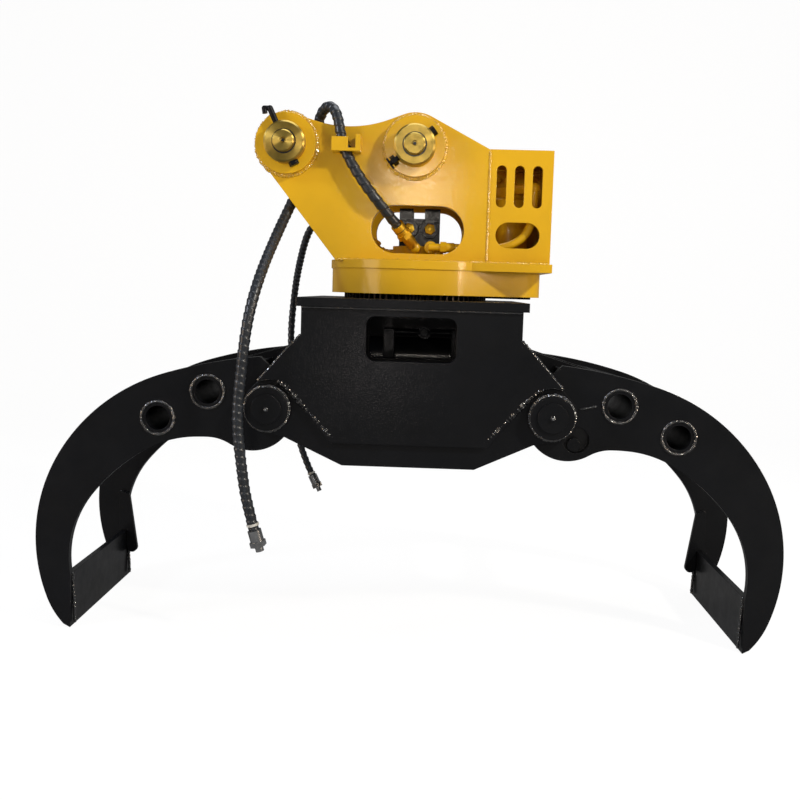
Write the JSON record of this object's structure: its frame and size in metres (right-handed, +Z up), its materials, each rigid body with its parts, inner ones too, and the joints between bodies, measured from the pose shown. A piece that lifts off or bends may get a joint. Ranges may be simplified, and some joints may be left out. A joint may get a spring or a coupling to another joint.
{
  "type": "rotating sorting grapple",
  "caption": "Hydraulic rotating grapple: curved open-sided claws on a pivot frame, slewed by a ring gear under a yellow pin-on excavator head.",
  "frame": {"origin": "floor under the slew axis, midway between the claw tips", "axes": "+Z up along the slew axis, +X from the left claw to the right claw, +Y to the rear; the claw pivots run along Y"},
  "size_m": [1.7282, 0.672, 1.2474],
  "materials": {
    "yellow_enamel": "glossy yellow-orange enamel, light orange peel",
    "black_enamel": "semi-gloss black enamel over weld beads",
    "zinc_yellow": "turned steel, yellow zinc plate",
    "black_oxide": "black oxide",
    "bearing_steel": "machined, greased",
    "chrome_rod": "hard chrome",
    "plated_steel": "bright zinc plate",
    "zinc_fitting": "yellow zinc plate",
    "hose_rubber": "spiral-wrapped hose, dull sheen",
    "painted_hose": "hose painted over with the head's yellow enamel"
  },
  "bodies": {
    "head": {"head_plate_front": "yellow_enamel", "head_plate_rear": "yellow_enamel", "ear_bosses": "yellow_enamel", "stick_pin": "zinc_yellow", "link_pin": "zinc_yellow", "stick_collar": "zinc_yellow", "link_collar": "zinc_yellow", "collar_lock_bolts": "black_oxide", "head_cross_plates": "yellow_enamel", "head_base_plate": "yellow_enamel", "gear_guard": "yellow_enamel", "motor_guard": "yellow_enamel", "slew_motor": "yellow_enamel", "slew_inner_ring": "bearing_steel", "slew_balls": "bearing_steel", "swivel_housing": "yellow_enamel", "swivel_block": "black_enamel", "hose_clip": "yellow_enamel", "front_hose": "hose_rubber", "rear_hose": "hose_rubber", "front_hose_end": "plated_steel", "rear_hose_end": "plated_steel", "hose_crimps": "zinc_fitting", "motor_hose": "painted_hose"},
    "drive_pinion": {"drive_pinion": "bearing_steel"},
    "lower_frame": {"frame_flange": "black_enamel", "frame_plate_front": "black_enamel", "frame_plate_rear": "black_enamel", "frame_doubler_front": "black_enamel", "frame_doubler_rear": "black_enamel", "pivot_bosses": "black_enamel", "inner_pivot_plates": "black_enamel", "frame_end_walls": "black_enamel", "frame_belly": "black_enamel", "pivot_pins": "black_enamel", "slew_gear_ring": "bearing_steel", "slew_ring_bolts": "black_oxide", "swivel_core": "bearing_steel"},
    "left_claw": {"left_tine_front": "black_enamel", "left_tine_rear": "black_enamel", "left_blade": "black_enamel", "left_cross_pipes": "black_enamel", "left_hub_sleeves": "black_enamel", "left_cylinder_lugs": "black_enamel", "left_top_cover": "black_enamel", "left_cylinder_pin": "black_oxide", "left_link_pin": "black_oxide"},
    "right_claw": {"right_tine_front": "black_enamel", "right_tine_rear": "black_enamel", "right_blade": "black_enamel", "right_cross_pipes": "black_enamel", "right_hub_sleeves": "black_enamel", "right_cylinder_lugs": "black_enamel", "right_top_cover": "black_enamel", "right_cylinder_pin": "black_oxide"},
    "cylinder_barrel": {"cylinder_barrel": "black_enamel", "cylinder_gland": "black_enamel"},
    "cylinder_rod": {"cylinder_rod": "chrome_rod"},
    "crossing_link": {"crossing_link": "black_enamel"}
  },
  "joints": [
    {"name": "slew", "type": "hinge", "parent": "head", "child": "lower_frame", "pos_m": [0, 0, 0], "axis": [0, 0, 1], "continuous": true, "deforming": ["front_hose", "front_hose_end", "rear_hose", "rear_hose_end"]},
    {"name": "pinion_spin", "type": "hinge", "parent": "head", "child": "drive_pinion", "pos_m": [0.225, 0, 0], "axis": [0, 0, 1], "continuous": true},
    {"name": "left_claw_swing", "type": "hinge", "parent": "lower_frame", "child": "left_claw", "pos_m": [-0.32, 0, 0.538], "axis": [0, -1, 0], "range_deg": [0, 67.4]},
    {"name": "right_claw_swing", "type": "hinge", "parent": "lower_frame", "child": "right_claw", "pos_m": [0.32, 0, 0.538], "axis": [0, 1, 0], "range_deg": [0, 67.4]},
    {"name": "cylinder_swing", "type": "hinge", "parent": "left_claw", "child": "cylinder_barrel", "pos_m": [-0.24787, 0, 0.64615], "axis": [0, 1, 0], "range_deg": [0, 67.4]},
    {"name": "rod_slide", "type": "slide", "parent": "cylinder_barrel", "child": "cylinder_rod", "axis": [1, 0, 0], "range_m": [0, 0.2886]},
    {"name": "link_swing", "type": "hinge", "parent": "left_claw", "child": "crossing_link", "pos_m": [-0.269, 0, 0.579], "axis": [0, 1, 0], "range_deg": [0, 71.4]}
  ],
  "couplings": [
    {"joint": "pinion_spin", "follows": "slew", "ratio": -3.0909},
    {"joint": "right_claw_swing", "follows": "left_claw_swing", "ratio": 1},
    {"joint": "cylinder_swing", "follows": "left_claw_swing", "ratio": 1},
    {"joint": "rod_slide", "follows": "left_claw_swing", "m_per_rad": 0.24527},
    {"joint": "link_swing", "follows": "left_claw_swing", "ratio": 1.059}
  ]
}
